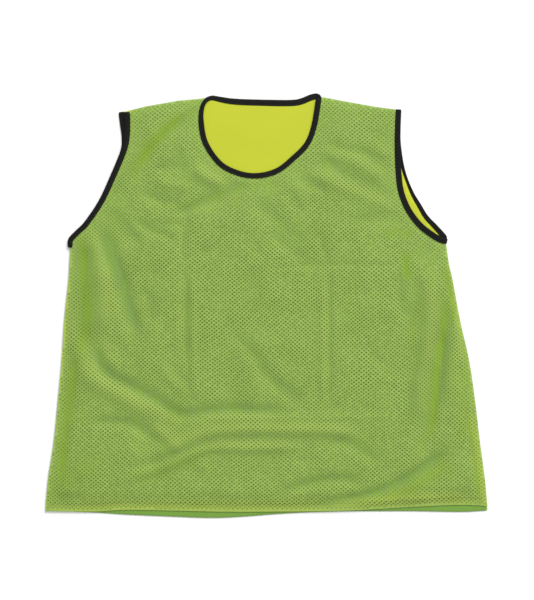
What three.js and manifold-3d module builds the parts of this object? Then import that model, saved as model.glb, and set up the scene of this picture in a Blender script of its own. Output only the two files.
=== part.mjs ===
// A reversible training vest of two layers, laid flat on its back with the front up.
// Green mesh outside and yellow knit inside are cut to one pattern and sewn together at the sides
// and shoulders. Black tape binds the neck and both armholes, and the hem of each side is turned in.
// Left and right are the wearer's, so the right armhole has negative x.
// Sizes are millimetres: x from the centre front, y up from the lowest point of the hem, z up from
// the surface that the vest lies on.
import * as THREE from "three";
import { mergeVertices } from "three/addons/utils/BufferGeometryUtils.js";
import Module from "manifold-3d";

const wasm = await Module();
wasm.setup();

// Driving sizes
const VEST_LENGTH = 637; // highest point of the neck binding to lowest point of the hem
const CLOTH = 1; // wall of each layer
const SEAM_GAP = 0.3; // between pieces that are sewn together
const BINDING_WIDTH = 8; // tape folded over the raw edge
const HEM_DEPTH = 13; // turned-in hem
const TRIM_OVERHANG = 12; // how far a cutting strip runs past the finished edge
const TAPE_END = 3; // how far an armhole's tape runs past the shoulder and underarm
const CURVE_STEP = 12; // between outline points
const CELL = 22; // of the grid that the folded front is made on
const PLY = 2 * CLOTH + SEAM_GAP; // mesh and lining together

// Heights of the layers where the front lies flat on the back
const BACK_MESH_Z = 0;
const BACK_LINING_Z = BACK_MESH_Z + CLOTH + SEAM_GAP;
const FRONT_LINING_Z = BACK_LINING_Z + CLOTH + SEAM_GAP;
const FRONT_MESH_Z = FRONT_LINING_Z + CLOTH + SEAM_GAP;
const TALLEST = 80; // of the blocks that pieces are cut with

// Half width of the body at each height, from the hem to the underarm
const BODY_SECTIONS = [
  { height: 12, right: -332, left: 332 },
  { height: 57, right: -328, left: 328 },
  { height: 117, right: -319, left: 320 },
  { height: 177, right: -313, left: 313 },
  { height: 237, right: -307.5, left: 304 },
  { height: 297, right: -303.5, left: 290.5 },
  { height: 357, right: -298, left: 281 },
  { height: 404, right: -295.5, left: 270.5 },
];

// Lower edge of each side, from the wearer's right to left; the back hangs a little lower
const HEM = [
  { x: -332, front: 10, back: 10 },
  { x: -260, front: 9.5, back: 8 },
  { x: -212, front: 12, back: 5 },
  { x: -145, front: 11, back: 2 },
  { x: -85, front: 9.5, back: 0 },
  { x: -40, front: 9, back: 1.5 },
  { x: 35, front: 9.5, back: 7 },
  { x: 110, front: 10.5, back: 9.5 },
  { x: 163, front: 13, back: 10 },
  { x: 221, front: 16.5, back: 10 },
  { x: 292, front: 19.5, back: 9 },
  { x: 332, front: 17.5, back: 11 },
];

// Free edge of each armhole from the underarm to the shoulder
const RIGHT_ARMHOLE = [
  { height: 408, front: -298, back: -297 },
  { height: 419, front: -297, back: -296 },
  { height: 431, front: -286, back: -285 },
  { height: 444, front: -273, back: -272 },
  { height: 476, front: -251.5, back: -250.5 },
  { height: 513.5, front: -234, back: -233.5 },
  { height: 551, front: -218.5, back: -219 },
  { height: 570, front: -214, back: -217 },
  { height: 590, front: -213, back: -219.5 },
  { height: 610.5, front: -214, back: -222 },
];
const LEFT_ARMHOLE = [
  { height: 417, front: 271.5, back: 271.5 },
  { height: 423, front: 259, back: 270 },
  { height: 438, front: 237.5, back: 256.5 },
  { height: 453, front: 224, back: 241.5 },
  { height: 469, front: 214, back: 231 },
  { height: 492, front: 205.5, back: 217.5 },
  { height: 522, front: 201.8, back: 207 },
  { height: 560, front: 200.6, back: 201.5 },
  { height: 590, front: 201, back: 201 },
  { height: 614.5, front: 202, back: 202 },
];

// Neck edges, from the wearer's right shoulder to the left one
const FRONT_NECK = [
  { x: -86, y: 628 },
  { x: -93, y: 616 },
  { x: -94, y: 597 },
  { x: -88, y: 565 },
  { x: -68, y: 535 },
  { x: -42, y: 521 },
  { x: -15, y: 517 },
  { x: 14, y: 524 },
  { x: 38, y: 542.5 },
  { x: 57, y: 564 },
  { x: 67, y: 590 },
  { x: 74, y: 628 },
];
const BACK_NECK = [
  { x: -93, y: 631 },
  { x: -82, y: 633.8 },
  { x: -66, y: 631.3 },
  { x: -45, y: 628.8 },
  { x: 0, y: 627.4 },
  { x: 38, y: 627.2 },
  { x: 52, y: 629.6 },
  { x: 64, y: 634.6 },
  { x: 74, y: VEST_LENGTH },
  { x: 80, y: 636.2 },
];
// Top edge beside the neck, from the armhole inwards
const RIGHT_SHOULDER = [
  { x: -184, y: 617 },
  { x: -133, y: 626 },
  { x: -100, y: 631 },
];
const LEFT_SHOULDER = [
  { x: 166, y: 616.5 },
  { x: 118, y: 625 },
  { x: 85, y: 631.5 },
];

// The loose front stands this far off the back between its folds, and lies down at its edges
const LOFT = 3;
const LIES_FLAT = 4; // this far in from the edge it still lies flat
const FULL_LOFT = 34; // this far in it is at its full height

// The largest folds of the front: a soft trough on a line through three places, with a swell to
// each side of it. Reach is from the middle of the trough to its edge.
const FOLDS = [
  { name: "right shoulder", from: [-126, 612], by: [-165, 556], to: [-214, 503], reach: 19, depth: 2.6 },
  { name: "right chest", from: [-35, 504], by: [-110, 474], to: [-190, 449], reach: 19, depth: 1.8 },
  { name: "right underarm", from: [-252, 455], by: [-225, 392], to: [-194, 290], reach: 19, depth: 2.6 },
  { name: "right side", from: [-275, 412], by: [-272, 345], to: [-266, 270], reach: 19, depth: 2.2 },
  { name: "right hip", from: [-252, 292], by: [-228, 212], to: [-120, 163], reach: 20, depth: 3.2 },
  { name: "waist", from: [-120, 163], by: [-20, 168], to: [95, 157], reach: 20, depth: 2.4 },
  { name: "lower front, right", from: [-240, 58], by: [-150, 95], to: [-60, 122], reach: 20, depth: 2.8 },
  { name: "lower front, left", from: [-60, 122], by: [20, 128], to: [150, 96], reach: 20, depth: 2.8 },
  { name: "left hem", from: [70, 26], by: [175, 46], to: [285, 106], reach: 20, depth: 3 },
  { name: "left side", from: [263, 335], by: [262, 226], to: [226, 108], reach: 19, depth: 2.8 },
  { name: "left underarm", from: [232, 395], by: [218, 350], to: [204, 300], reach: 19, depth: 2 },
  { name: "left chest, upper", from: [82, 568], by: [135, 550], to: [188, 530], reach: 18, depth: 1.6 },
  { name: "left chest, lower", from: [84, 524], by: [135, 512], to: [188, 494], reach: 19, depth: 2.2 },
  { name: "middle of the chest", from: [-25, 462], by: [30, 425], to: [80, 388], reach: 20, depth: 1.4 },
];
const FOLD_POINTS = 24; // along each fold's line

const SLOTS = {
  mesh: { color: 0x8ca954, roughness: 0.85, metalness: 0 },
  lining: { color: 0xcbd43c, roughness: 0.8, metalness: 0 },
  tape: { color: 0x1e1f20, roughness: 0.75, metalness: 0 },
};

// A smooth line through the given points, as points about CURVE_STEP apart
function smooth(points) {
  const curve = new THREE.SplineCurve(points);
  return curve.getSpacedPoints(Math.ceil(curve.getLength() / CURVE_STEP));
}

const at = ({ x, y }) => new THREE.Vector2(x, y);
const sideEdge = (side) => smooth(BODY_SECTIONS.map((row) => new THREE.Vector2(row[side], row.height)));
const hemEdge = (face) => smooth(HEM.map((row) => new THREE.Vector2(row.x, row[face])));
const armholeEdge = (rows, face) => smooth(rows.map((row) => new THREE.Vector2(row[face], row.height)));

// The finished edges of one face of the vest, front or back
function edgesOf(face) {
  return {
    hem: hemEdge(face),
    leftSide: sideEdge("left"),
    leftArmhole: armholeEdge(LEFT_ARMHOLE, face),
    leftShoulder: LEFT_SHOULDER.map(at),
    neck: smooth((face === "front" ? FRONT_NECK : BACK_NECK).map(at)),
    rightShoulder: RIGHT_SHOULDER.map(at),
    rightArmhole: armholeEdge(RIGHT_ARMHOLE, face),
    rightSide: sideEdge("right"),
  };
}

// The whole face as one anticlockwise outline, its bound edges and hem included
function silhouette(edges) {
  return [
    ...edges.hem,
    ...edges.leftSide.slice(1),
    ...edges.leftArmhole,
    ...edges.leftShoulder,
    ...edges.neck.toReversed(),
    ...edges.rightShoulder.toReversed(),
    ...edges.rightArmhole.toReversed(),
    ...edges.rightSide.toReversed().slice(0, -1),
  ];
}

// A line moved sideways, to its left for a positive distance, and run on straight past both ends
function moved(line, distance, runOn) {
  const last = line.length - 1;
  const tangents = line.map((_, i) =>
    new THREE.Vector2().subVectors(line[Math.min(i + 1, last)], line[Math.max(i - 1, 0)]).normalize()
  );
  const points = line.map((point, i) => {
    const { x, y } = tangents[i];
    return new THREE.Vector2(point.x - y * distance, point.y + x * distance);
  });
  const before = points[0].clone().addScaledVector(tangents[0], -runOn);
  const after = points[last].clone().addScaledVector(tangents[last], runOn);
  return [before, ...points, after];
}

function solidOf(geometry) {
  geometry.deleteAttribute("normal");
  geometry.deleteAttribute("uv");
  const merged = mergeVertices(geometry, 1e-4);
  return new wasm.Manifold(
    new wasm.Mesh({
      numProp: 3,
      vertProperties: merged.attributes.position.array,
      triVerts: new Uint32Array(merged.index.array),
    })
  );
}

function geometryOf(solid) {
  const { vertProperties, triVerts } = solid.getMesh();
  const geometry = new THREE.BufferGeometry();
  geometry.setAttribute("position", new THREE.BufferAttribute(vertProperties, 3));
  geometry.setIndex(new THREE.BufferAttribute(triVerts, 1));
  return geometry;
}

// An upright block with the given outline, used flat as a piece or as a cutter
function block(outline, bottom, height) {
  const shape = new THREE.Shape(outline);
  const geometry = new THREE.ExtrudeGeometry(shape, { depth: height, bevelEnabled: false });
  geometry.translate(0, 0, bottom);
  return solidOf(geometry);
}

// The block that holds a trim: from outside the edge to its width inside it. inward is +1 where the
// cloth is to the left of the edge's direction, and -1 where it is to the right.
function trimBlock(edge, width, inward, runOn) {
  const outer = moved(edge, -inward * TRIM_OVERHANG, runOn);
  const inner = moved(edge, inward * width, runOn);
  return block([...outer, ...inner.toReversed()], -TALLEST / 2, TALLEST);
}

const smoothstep = (t) => THREE.MathUtils.smoothstep(t, 0, 1);

function distanceToOutline(point, outline) {
  const nearest = new THREE.Vector2();
  let least = Infinity;
  outline.forEach((a, i) => {
    const b = outline[(i + 1) % outline.length];
    const along = new THREE.Vector2().subVectors(b, a);
    const share = THREE.MathUtils.clamp(point.clone().sub(a).dot(along) / along.lengthSq(), 0, 1);
    nearest.copy(a).addScaledVector(along, share);
    least = Math.min(least, nearest.distanceTo(point));
  });
  return least;
}

function isInside(point, outline) {
  let inside = false;
  outline.forEach((a, i) => {
    const b = outline[(i + 1) % outline.length];
    if (a.y > point.y !== b.y > point.y && point.x < ((b.x - a.x) * (point.y - a.y)) / (b.y - a.y) + a.x) {
      inside = !inside;
    }
  });
  return inside;
}

const foldLines = FOLDS.map((fold) => {
  const line = [fold.from, fold.by, fold.to].map(([x, y]) => new THREE.Vector2(x, y));
  return { ...fold, points: new THREE.SplineCurve(line).getSpacedPoints(FOLD_POINTS) };
});

// Height that one fold adds at a point: a trough on the line, a swell at 1 to 2 reaches, nothing beyond
function foldHeight(point, { points, reach, depth }) {
  let nearest = 0;
  points.forEach((p, i) => {
    if (p.distanceToSquared(point) < points[nearest].distanceToSquared(point)) nearest = i;
  });
  const across = points[nearest].distanceTo(point) / reach;
  const along = nearest / FOLD_POINTS;
  const fade = smoothstep(along * 4) * smoothstep((1 - along) * 4);
  return -depth * fade * (1 - across * across) * Math.exp((-across * across) / 2);
}

// How far the front stands off the back at a point
function loftAt(point, outline) {
  if (!isInside(point, outline)) return 0;
  const edgeDistance = distanceToOutline(point, outline);
  const rise = smoothstep((edgeDistance - LIES_FLAT) / (FULL_LOFT - LIES_FLAT));
  const folds = foldLines.reduce((sum, fold) => sum + foldHeight(point, fold), 0);
  return Math.max(0, rise * (LOFT + folds));
}

// Heights of the front on a grid that covers it; both of its layers are made on this one
function loftGrid(outline) {
  const box = new THREE.Box2().setFromPoints(outline).expandByScalar(CELL / 2);
  const columns = Math.ceil((box.max.x - box.min.x) / CELL);
  const rows = Math.ceil((box.max.y - box.min.y) / CELL);
  const points = [];
  for (let j = 0; j <= rows; j++) {
    for (let i = 0; i <= columns; i++) {
      const point = new THREE.Vector2(box.min.x + i * CELL, box.min.y + j * CELL);
      points.push(new THREE.Vector3(point.x, point.y, loftAt(point, outline)));
    }
  }
  return { columns, rows, points };
}

// A wall of cloth that follows the grid, with its underside at bottom where the loft is nothing
function wall({ columns, rows, points }, bottom) {
  const wide = columns + 1;
  const count = points.length;
  const positions = [
    ...points.flatMap((p) => [p.x, p.y, p.z + bottom]),
    ...points.flatMap((p) => [p.x, p.y, p.z + bottom + CLOTH]),
  ];
  const faces = [];
  for (let j = 0; j < rows; j++) {
    for (let i = 0; i < columns; i++) {
      const [a, b, c, d] = [j * wide + i, j * wide + i + 1, (j + 1) * wide + i + 1, (j + 1) * wide + i];
      faces.push(a, c, b, a, d, c);
      faces.push(a + count, b + count, c + count, a + count, c + count, d + count);
    }
  }
  const rim = [];
  for (let i = 0; i < columns; i++) rim.push(i);
  for (let j = 0; j < rows; j++) rim.push(j * wide + columns);
  for (let i = columns; i > 0; i--) rim.push(rows * wide + i);
  for (let j = rows; j > 0; j--) rim.push(j * wide);
  rim.forEach((a, k) => {
    const b = rim[(k + 1) % rim.length];
    faces.push(a, b, b + count, a, b + count, a + count);
  });
  const geometry = new THREE.BufferGeometry();
  geometry.setAttribute("position", new THREE.Float32BufferAttribute(positions, 3));
  geometry.setIndex(faces);
  return solidOf(geometry);
}

// The trims of one face: where each runs, how wide it is and which side of its edge the cloth is on
function trimsOf(edges) {
  return {
    hem: { edge: edges.hem, width: HEM_DEPTH, inward: 1, runOn: TRIM_OVERHANG },
    neck: { edge: edges.neck, width: BINDING_WIDTH, inward: -1, runOn: TRIM_OVERHANG },
    left: { edge: edges.leftArmhole, width: BINDING_WIDTH, inward: 1, runOn: TAPE_END },
    right: { edge: edges.rightArmhole, width: BINDING_WIDTH, inward: -1, runOn: TAPE_END },
  };
}

// One face of the vest: its two layers of cloth and its trims, each cut clear of the next
function face(name, bottom, layers) {
  const edges = edgesOf(name);
  const outline = silhouette(edges);
  const trims = trimsOf(edges);
  const cutters = Object.values(trims).map(({ edge, width, inward, runOn }) =>
    trimBlock(edge, width + SEAM_GAP, inward, runOn + SEAM_GAP)
  );
  const whole = block(outline, bottom, PLY);
  const pieces = {};
  for (const [layer, sheet] of Object.entries(layers(outline))) {
    pieces[layer] = cutters.reduce((cloth, cutter) => cloth.subtract(cutter), sheet);
  }
  let room = whole;
  for (const [trim, { edge, width, inward, runOn }] of Object.entries(trims)) {
    pieces[trim] = room.intersect(trimBlock(edge, width, inward, runOn));
    room = room.subtract(trimBlock(edge, width + SEAM_GAP, inward, runOn + SEAM_GAP));
  }
  return pieces;
}

const backPieces = face("back", BACK_MESH_Z, (outline) => ({
  mesh: block(outline, BACK_MESH_Z, CLOTH),
  lining: block(outline, BACK_LINING_Z, CLOTH),
}));
const frontPieces = face("front", FRONT_LINING_Z, (outline) => {
  const grid = loftGrid(outline);
  const cutter = block(outline, -TALLEST / 2, TALLEST);
  return {
    lining: wall(grid, FRONT_LINING_Z).intersect(cutter),
    mesh: wall(grid, FRONT_MESH_Z).intersect(cutter),
  };
});

function piece(name, solid, slot) {
  const mesh = new THREE.Mesh(geometryOf(solid), new THREE.MeshStandardMaterial(SLOTS[slot]));
  mesh.name = name;
  return mesh;
}

const vest = new THREE.Group();
vest.name = "reversible_vest";
vest.add(
  piece("back_mesh", backPieces.mesh, "mesh"),
  piece("back_lining", backPieces.lining, "lining"),
  piece("front_lining", frontPieces.lining, "lining"),
  piece("front_mesh", frontPieces.mesh, "mesh")
);
for (const [side, pieces] of Object.entries({ back: backPieces, front: frontPieces })) {
  vest.add(
    piece(`${side}_hem`, pieces.hem, "mesh"),
    piece(`${side}_neck_binding`, pieces.neck, "tape"),
    piece(`${side}_left_armhole_binding`, pieces.left, "tape"),
    piece(`${side}_right_armhole_binding`, pieces.right, "tape")
  );
}
// The origin is on the surface, under the middle of the vest
const middle = new THREE.Box3().setFromObject(vest).getCenter(new THREE.Vector3());
vest.position.set(-middle.x, -middle.y, 0);

export default vest;
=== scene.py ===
"""A reversible training vest of green mesh and yellow knit, laid flat with its front up.

Sizes here are millimetres: x from the centre front, y up from the lowest point of the hem, z up from
the floor. They become metres in the row frame when an object is made.
"""

import math
from collections import namedtuple

import bpy
import numpy as np
from bpy.props import FloatProperty, FloatVectorProperty, PointerProperty
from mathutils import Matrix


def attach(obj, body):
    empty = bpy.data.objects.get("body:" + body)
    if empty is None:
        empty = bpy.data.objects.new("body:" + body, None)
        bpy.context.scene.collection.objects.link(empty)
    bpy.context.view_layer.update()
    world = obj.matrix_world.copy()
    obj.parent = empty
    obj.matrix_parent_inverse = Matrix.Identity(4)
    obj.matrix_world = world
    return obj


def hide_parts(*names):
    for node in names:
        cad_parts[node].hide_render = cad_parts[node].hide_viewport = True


bl_info = {
    "name": "Reversible Vest",
    "version": (1, 0, 0),
    "blender": (4, 5, 0),
    "location": "3D View > Sidebar > Vest",
    "description": "Builds the cloth, trims and stage of a reversible training vest",
    "category": "Add Mesh",
}

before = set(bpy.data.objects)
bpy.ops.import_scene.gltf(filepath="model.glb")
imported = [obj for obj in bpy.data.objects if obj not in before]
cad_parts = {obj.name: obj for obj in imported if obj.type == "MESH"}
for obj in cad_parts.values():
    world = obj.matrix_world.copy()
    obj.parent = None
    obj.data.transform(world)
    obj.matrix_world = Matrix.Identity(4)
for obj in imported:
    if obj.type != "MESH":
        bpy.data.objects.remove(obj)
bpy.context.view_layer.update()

# Half of the vest's length, from the hem's lowest point to the frame's origin
HALF_LENGTH = 318.1

# Levels of the layers where the vest lies flat
BACK_MESH_LEVEL = 0.5
BACK_LINING_LEVEL = 1.8
FRONT_LINING_LEVEL = 3.0
FRONT_MESH_LEVEL = 3.9
TAPE_LEVELS = {"back": 1.56, "front": 3.9}
HEM_LEVELS = {"back": 1.15, "front": 2.55}

# Points between two rows of a table, and then steps along edges, folds and tapes and over the linings
CURVE_STEPS = 24
EDGE_STEP = 4.0
FOLD_STEP = 8.0
TAPE_STEP = 2.5
KNIT_CELL = 6.0

Section = namedtuple("Section", "height right left")
Hem = namedtuple("Hem", "x front back")
Armhole = namedtuple("Armhole", "height front back")

BODY_SECTIONS = [Section(*row) for row in (
    (12, -332, 332), (57, -328, 328), (117, -319, 320), (177, -313, 313), (237, -307.5, 304),
    (297, -303.5, 290.5), (357, -297.3, 279.4), (379, -296, 274.2), (404, -294.5, 270.5),
)]
HEM = [Hem(*row) for row in (
    (-332, 10, 10), (-260, 9.5, 8), (-212, 12, 5), (-145, 11, 2), (-85, 9.5, 0), (-40, 9, 1.5),
    (35, 9.5, 7), (110, 10.5, 9.5), (163, 13, 10), (221, 16.5, 10), (292, 19.5, 9), (332, 17.5, 11),
)]
RIGHT_ARMHOLE = [Armhole(*row) for row in (
    (408, -298, -297), (419, -297, -296), (431, -286, -285), (444, -273, -272), (476, -251.5, -250.5),
    (513.5, -234, -233.5), (551, -218.5, -219), (570, -214, -217), (590, -213, -219.5),
    (608.5, -213.8, -221.7),
)]
LEFT_ARMHOLE = [Armhole(*row) for row in (
    (419.5, 269.5, 271), (423, 259, 270.4), (438, 237.5, 257), (453, 224, 242.5), (469, 214, 232.5),
    (492, 205.5, 219), (522, 201.8, 207.8), (560, 200.6, 201.5), (590, 201, 201), (612.3, 202, 202),
)]
# Neck and shoulder edges as (x, y), from the wearer's right to left
FRONT_NECK = [
    (-85, 627.8), (-90, 624), (-93, 618), (-94.5, 611), (-94.8, 597), (-88.6, 565), (-68, 535), (-42, 521),
    (-15, 517), (14, 524), (38, 542.5), (58, 563.5), (68.2, 590), (74.5, 628),
]
BACK_NECK = [
    (-97, 624), (-92.5, 629.5), (-85.5, 632.9), (-80, 633.7), (-66, 631.3), (-45, 628.8), (0, 627.4),
    (38, 627.2), (52, 629.6), (64, 634.6), (74, 637), (79, 635.6), (82, 632.3), (82.8, 629),
]
RIGHT_SHOULDER = [(-184, 617), (-133, 626), (-99, 629)]
LEFT_SHOULDER = [(166, 616.5), (118, 625), (85, 631.5)]

# How far in from its free edge the cloth ends inside a tape
CLOTH_IN_TAPE = 4.0
HEM_DEPTH = 13.0
HEM_HALF_THICKNESS = 0.85
# A hem stops this far short of the sewn sides
HEM_END = 2.4
# A lining ends this far in from the sewn sides, and reaches this far down inside the hem
LINING_INSET = 1.5
LINING_IN_HEM = 2.0
# How far the row of stitches lies from the inner edge of a hem and of a tape
HEM_SEAM = 1.5
TAPE_SEAM = 1.7
# Level of the hem's stitches under the back
BACK_SEAM_LEVEL = 0.45
# Along their edges the front dips and the back rises, over this width
SEAM_WIDTH = 3.0
FRONT_SEAM_DIP = 0.5
BACK_SEAM_RISE = 0.4

# The mesh: staggered holes, with this repeat across and up the cloth
REPEAT_X = 6.8
REPEAT_Y = 5.65
HOLE_HALF_WIDTH = 1.5
HOLE_HALF_HEIGHT = 1.3
THREAD_ROUNDING = 0.28
# The least way from a hole's middle to the edge of the sheet
HOLE_TO_EDGE = 2.3
# How far the rows of holes wander from straight
GRAIN_DRIFT = 1.5
# An outline's corner is kept where it turns by more than this, in degrees
SHARP_TURN = 35
# Holes and stitches have six sides, at these angles
SIX_SIDES = np.radians(np.arange(0, 360, 60))

# The loose front stands off the back between its folds and lies down at its edges
LOFT = 3.0
LIES_FLAT = 4.0
FULL_LOFT = 32.0
# Near the tapes it rises only this share of that, and the rest within this distance of them
LOFT_AT_TAPES = 0.2
TAPES_REACH = 130.0
# Below this height a trough bottoms out softly
LEAST_LOFT = 0.8
# The folds and the standoff begin this far in from the edge, and the folds are whole this far in
FOLDS_BEGIN = 2.0
FOLDS_WHOLE = 11.0
# The mesh stands off its lining by this much, except where it is pressed to it. Beside the tapes it is
# this share of that, and it is whole this far in from the edge.
MESH_STANDOFF = 0.9
STANDOFF_AT_TAPES = 0.45
STANDOFF_WHOLE = 14.0
# A trough this deep holds the mesh down on its lining, and a ridge this high lifts it off. The same
# depths set how strong the painted shade and the painted highlight in the yarn's colour are.
CLING_DEPTH = 3.2
LIFT_HEIGHT = 3.6
# A ridge that high adds this share to the standoff
RIDGE_LIFT = 0.3
# Both show most this far right of the fold's line and up from it, towards the key light: on a trough's
# shaded wall and on a ridge's lit wall. The wall on the line's other side does the opposite by this share.
WALL_SHIFT = np.array([4.5, 6.5])
OTHER_WALL = 0.6

# Folds of the front: how deep each trough is along its line, or how high each ridge, as a depth below 0
Fold = namedtuple("Fold", "points depth width")
FOLDS = [Fold(*row) for row in (
    # Right side, fanning out from the underarm
    ([(-256, 448), (-243, 408), (-231, 375), (-221, 345), (-211, 315), (-203, 290), (-192, 255)], 3.6, 12),
    ([(-262, 440), (-256, 395), (-252, 358), (-250, 315), (-250, 270)], -3.6, 13),
    ([(-243, 462), (-224, 443), (-205, 422), (-186, 405)], 2.0, 9.5),
    ([(-203, 450), (-176, 430), (-152, 422), (-134, 408)], 1.5, 7),
    ([(-180, 441), (-146, 438), (-122, 441)], 0.8, 7),
    ([(-182, 345), (-178, 322), (-177, 292)], 1.3, 9),
    ([(-289, 424), (-285, 370), (-282, 320), (-280, 280), (-276, 245)], 2.2, 11),
    # Right side, the long diagonal and the waist
    ([(-270, 298), (-262, 258), (-254, 229), (-238, 212), (-213, 200), (-189, 186), (-167, 174),
      (-146, 161), (-124, 153), (-92, 157), (-58, 160), (-18, 159), (22, 157), (62, 158)], 2.7, 9),
    ([(-290, 292), (-284, 252), (-276, 222), (-260, 202), (-238, 188), (-210, 173), (-184, 157),
      (-156, 137)], -1.7, 11),
    ([(-272, 141), (-236, 142), (-206, 139), (-186, 128), (-168, 116)], 2.0, 8.5),
    ([(-176, 138), (-150, 119), (-126, 96)], -2.2, 10),
    ([(-164, 232), (-142, 205), (-118, 184)], -1.2, 8),
    ([(-246, 262), (-240, 240), (-218, 226)], -1.0, 8),
    # Lower front
    ([(-212, 80), (-162, 97), (-130, 108), (-103, 121), (-74, 128), (-25, 131), (40, 130), (88, 129),
      (125, 124), (158, 108)], -2.9, 9.5),
    ([(-236, 50), (-192, 64), (-160, 73), (-130, 86), (-100, 99), (-74, 104), (-40, 104), (0, 104),
      (75, 105)], -2.3, 7.5),
    ([(92, 114), (124, 109), (146, 95), (168, 80)], 1.6, 9),
    ([(2, 28), (24, 37), (50, 46), (84, 54), (114, 56), (152, 49)], 2.2, 8),
    ([(105, 14), (150, 18), (205, 23), (262, 25), (316, 24)], -1.6, 9),
    ([(60, 15), (100, 19), (128, 23), (152, 31), (178, 39), (203, 51), (230, 68), (254, 86),
      (284, 102)], 3.7, 8.5),
    ([(-326, 24), (-286, 28), (-268, 30)], 1.2, 9),
    ([(-100, 88), (-98, 70)], -0.8, 7),
    # Left side
    ([(260, 345), (259, 290), (255, 250), (249, 210), (242, 170), (234, 130), (222, 95)], 1.9, 12),
    ([(243, 372), (241, 310), (236, 255), (229, 215), (225, 180), (221, 135)], -3.5, 11),
    ([(263, 300), (261, 240), (255, 190), (250, 150)], 1.2, 6),
    ([(276, 350), (281, 300), (279, 250), (272, 200), (266, 160)], -2.6, 10),
    ([(292, 275), (297, 245), (302, 212)], 1.2, 6),
    ([(199, 368), (197, 340), (201, 315), (213, 292)], 1.5, 9),
    ([(226, 366), (222, 335), (214, 302), (208, 265)], 1.3, 8),
    ([(262, 108), (270, 120), (274, 136)], -1.0, 9),
    ([(150, 262), (160, 240), (168, 225)], 0.8, 8),
    # Left underarm and the fan below the left shoulder
    ([(232, 433), (240, 415), (239, 398), (222, 382)], 1.0, 6.5),
    ([(133, 567), (152, 558), (172, 547), (194, 541)], -0.9, 8),
    ([(78, 561), (105, 554), (135, 548), (160, 537), (192, 523)], 0.9, 7),
    ([(78, 551), (105, 541), (130, 534), (155, 519), (184, 506)], -1.1, 9),
    ([(62, 542), (88, 531), (106, 518), (136, 503), (168, 491), (200, 470)], 1.4, 9),
    ([(52, 525), (78, 513), (98, 500), (125, 488), (158, 474), (204, 456)], -1.1, 8),
    ([(44, 509), (70, 497), (93, 487)], 1.2, 7),
    ([(152, 600), (172, 603), (192, 598)], 0.6, 6),
    ([(148, 581), (170, 570), (188, 563)], 0.6, 6),
    ([(110, 443), (150, 446), (200, 450)], 0.7, 8),
    # Chest
    ([(32, 494), (38, 478), (50, 458)], 1.2, 8),
    ([(-24, 484), (4, 456), (32, 428), (60, 400)], 1.2, 11),
    ([(-2, 430), (25, 408), (54, 381)], 1.3, 9),
    ([(-64, 284), (-30, 255), (4, 206), (40, 180), (72, 162)], 1.5, 10),
    ([(-16, 415), (-12, 392)], 0.8, 9),
    ([(-105, 398), (-82, 397)], 0.8, 9),
    # Right shoulder and chest
    ([(-86, 640), (-112, 617), (-136, 600), (-158, 581), (-181, 557), (-203, 527), (-226, 494),
      (-240, 474)], -2.0, 7),
    ([(-190, 598), (-200, 575)], 0.8, 7),
    ([(-112, 526), (-88, 508), (-62, 500)], -2.8, 9.5),
    ([(-22, 500), (-50, 490), (-72, 480), (-98, 470), (-122, 459), (-148, 455)], 2.6, 7.5),
    ([(-196, 490), (-170, 477), (-150, 471), (-124, 475)], 1.4, 7.5),
    ([(-172, 506), (-150, 500), (-112, 494)], -1.2, 7),
    ([(-170, 519), (-140, 525), (-116, 520)], 1.2, 7),
    ([(-122, 560), (-124, 538)], -0.9, 7),
    # Packing creases
    ([(92, 392), (92, 290), (92, 150)], 1.3, 5.5),
    ([(83, 392), (83, 290), (83, 150)], -0.9, 5.5),
    ([(76, 430), (84, 405), (90, 380)], 1.0, 6),
    ([(-125, 386), (-124, 300), (-123, 225)], 1.3, 6),
    ([(-112, 384), (-111, 280), (-110, 170)], -1.2, 6),
    ([(-119, 468), (-125, 425), (-129, 400), (-116, 377)], 1.2, 6),
    ([(10, 377), (110, 378), (208, 376)], 0.6, 5),
    ([(-112, 149), (-20, 149), (90, 150), (222, 151)], -0.7, 5),
)]
# Stripes on the front: how wide, and how strongly they show
Stripe = namedtuple("Stripe", "points width strength")
# Where the mesh is pressed to its lining, so that the yellow glows through
CONTACTS = [Stripe(*row) for row in (
    ([(-116, 614), (-134, 598), (-152, 582), (-175, 555), (-204, 512)], 8, 1),
    ([(-276, 440), (-274, 385), (-271, 330), (-270, 290), (-278, 255), (-288, 225)], 8.5, 0.9),
    ([(-282, 262), (-288, 232), (-292, 192), (-299, 147), (-304, 102), (-307, 52), (-312, 25)], 7, 0.9),
    ([(-326, 20), (-296, 52), (-260, 84), (-236, 94)], 14, 0.35),
    ([(-212, 50), (-160, 68), (-110, 88), (-80, 92)], 10, 0.3),
    ([(270, 345), (265, 282), (260, 252), (254, 207), (251, 162), (244, 130), (226, 98)], 5.5, 1),
    ([(265, 387), (273, 352), (279, 318), (283, 286)], 4, 0.9),
    ([(234, 340), (226, 305), (218, 270), (210, 238)], 7, 0.3),
    ([(210, 400), (209, 378), (212, 352)], 5.5, 1),
    ([(172, 429), (196, 428), (222, 427)], 6, 0.6),
    ([(156, 22), (205, 38), (252, 68), (282, 98)], 10, 0.6),
    ([(276, 110), (292, 128), (296, 176), (290, 240)], 9, 0.3),
    ([(296, 175), (302, 146), (307, 117), (312, 87), (316, 57), (319.5, 30), (322, 0)], 2.6, 0.9),
    ([(-176, 464), (-110, 472), (-60, 490), (-10, 500), (36, 508)], 5, 0.3),
)]
# Sewn edges where the seam's paler yellow shows beside the mesh
EDGES_SHOWN = [Stripe(*row) for row in (
    ([(-297, 412), (-300, 350), (-303.5, 290), (-308, 230), (-315, 170)], 3.5, 1),
    ([(303, 175), (308.5, 146), (313.5, 117), (318, 87), (322, 57), (325.5, 30), (328, 6)], 3.6, 1.5),
    ([(272, 396), (282, 340), (291, 285), (298, 240), (305, 205)], 2.6, 0.4),
    ([(-352, 16), (-240, 15), (-145, 17), (-60, 16), (20, 16), (130, 18)], 9.0, 0.75),
    ([(70, 18), (140, 22), (200, 27), (270, 28), (340, 24)], 9.0, 0.6),
)]

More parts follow.
